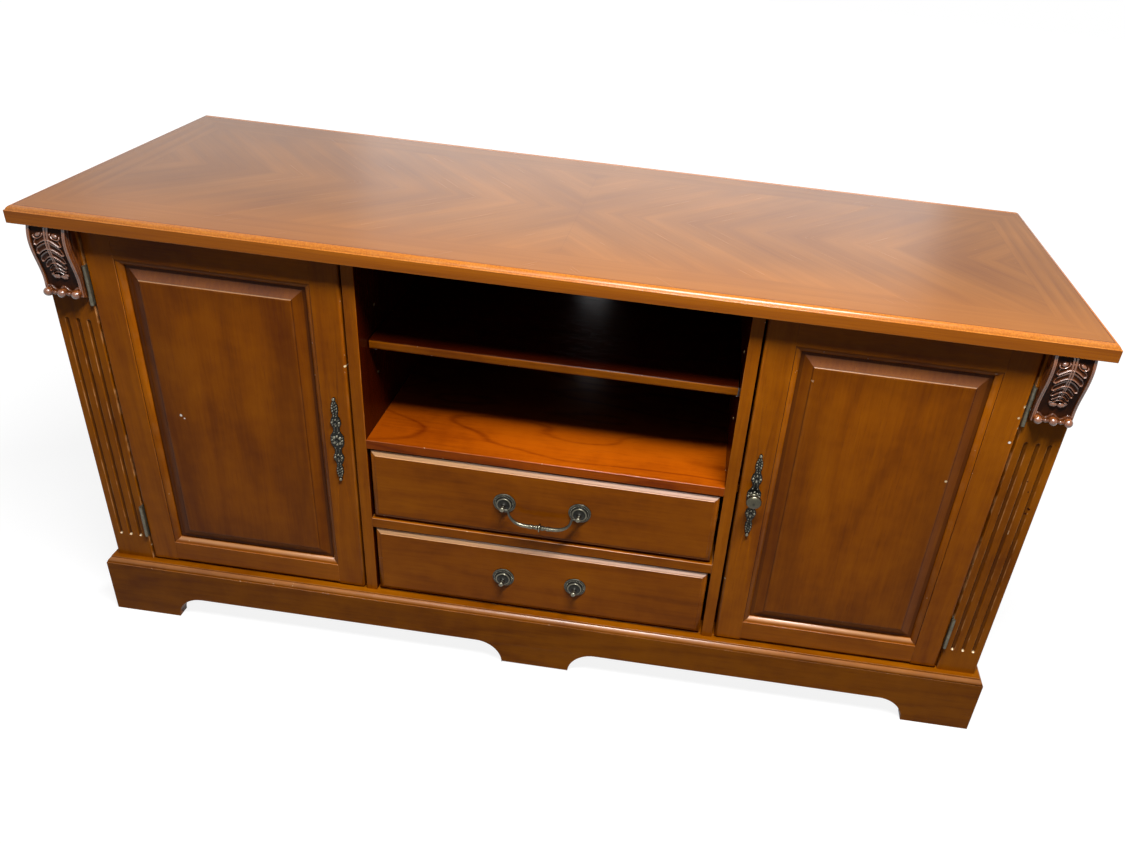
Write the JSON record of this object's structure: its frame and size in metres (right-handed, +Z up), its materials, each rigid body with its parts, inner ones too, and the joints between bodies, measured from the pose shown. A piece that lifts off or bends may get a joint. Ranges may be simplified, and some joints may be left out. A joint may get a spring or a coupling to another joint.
{
  "type": "tv armoire",
  "caption": "Low cabinet for a television and its players: raised-panel doors beside an open shelved bay over drawers, fluted pilasters with carved brackets, and a plinth on bracket feet.",
  "frame": {"origin": "on the floor, under the middle of the cabinet's overall depth and width", "axes": "+X to the right as seen from the front, +Y to the back (the doors and drawers face -Y), +Z up"},
  "size_m": [1.524, 0.509, 0.762],
  "materials": {
    "cherry_wood": "cherry stain under semi-gloss lacquer",
    "top_veneer": "matched veneer under semi-gloss lacquer",
    "carved_wood": "dark stain under gloss lacquer",
    "case_veneer": "veneer under satin lacquer",
    "plain_board": "plain board, unfinished behind",
    "drawer_box_wood": "clear sealed hardwood",
    "aged_pewter": "cast metal, dark in the recesses and rubbed bright on the edges",
    "hinge_metal": "dulled plating",
    "plated_steel": "zinc plated",
    "catch_plastic": "moulded"
  },
  "bodies": {
    "carcass": {"back_panel_centre": "plain_board", "back_panel_left": "plain_board", "back_panel_right": "plain_board", "base_back": "plain_board", "base_blocks": "plain_board", "base_front": "cherry_wood", "base_moulding": "cherry_wood", "base_side_left": "cherry_wood", "base_side_right": "cherry_wood", "bay_shelf": "case_veneer", "bottom_board": "case_veneer", "corbel_left": "carved_wood", "corbel_right": "carved_wood", "cupboard_shelf_left": "case_veneer", "cupboard_shelf_right": "case_veneer", "divider_left": "case_veneer", "divider_right": "case_veneer", "door_catches": "catch_plastic", "drawer_rail": "case_veneer", "drawer_runners": "drawer_box_wood", "fixed_shelf": "case_veneer", "hinge_case_leaves": "hinge_metal", "pilaster_left": "cherry_wood", "pilaster_right": "cherry_wood", "shelf_supports": "plated_steel", "side_panel_left": "case_veneer", "side_panel_right": "case_veneer", "top_board": "top_veneer"},
    "left_door": {"door_left_bottom_rail": "cherry_wood", "door_left_hinge_leaves": "hinge_metal", "door_left_hinge_stile": "cherry_wood", "door_left_lock_stile": "cherry_wood", "door_left_panel": "cherry_wood", "door_left_plate": "aged_pewter", "door_left_strike": "plated_steel", "door_left_top_rail": "cherry_wood"},
    "right_door": {"door_right_bottom_rail": "cherry_wood", "door_right_hinge_leaves": "hinge_metal", "door_right_hinge_stile": "cherry_wood", "door_right_knob": "aged_pewter", "door_right_lock_stile": "cherry_wood", "door_right_panel": "cherry_wood", "door_right_plate": "aged_pewter", "door_right_strike": "plated_steel", "door_right_top_rail": "cherry_wood"},
    "upper_drawer": {"drawer_upper_back": "drawer_box_wood", "drawer_upper_bottom": "plain_board", "drawer_upper_front": "cherry_wood", "drawer_upper_posts": "aged_pewter", "drawer_upper_side_left": "drawer_box_wood", "drawer_upper_side_right": "drawer_box_wood"},
    "lower_drawer": {"drawer_lower_back": "drawer_box_wood", "drawer_lower_bottom": "plain_board", "drawer_lower_front": "cherry_wood", "drawer_lower_posts": "aged_pewter", "drawer_lower_side_left": "drawer_box_wood", "drawer_lower_side_right": "drawer_box_wood"},
    "upper_bail": {"drawer_upper_bail": "aged_pewter"}
  },
  "joints": [
    {"name": "left_door_hinge", "type": "hinge", "parent": "carcass", "child": "left_door", "pos_m": [-0.67775, -0.2346, 0.42], "axis": [0, 0, -1], "range_deg": [0, 100]},
    {"name": "right_door_hinge", "type": "hinge", "parent": "carcass", "child": "right_door", "pos_m": [0.67775, -0.2346, 0.42], "axis": [0, 0, 1], "range_deg": [0, 100]},
    {"name": "upper_drawer_slide", "type": "slide", "parent": "carcass", "child": "upper_drawer", "axis": [0, -1, 0], "range_m": [0, 0.3]},
    {"name": "lower_drawer_slide", "type": "slide", "parent": "carcass", "child": "lower_drawer", "axis": [0, -1, 0], "range_m": [0, 0.3]},
    {"name": "upper_bail_hinge", "type": "hinge", "parent": "upper_drawer", "child": "upper_bail", "pos_m": [0, -0.248, 0.3445], "axis": [-1, 0, 0], "range_deg": [-20, 150]}
  ]
}
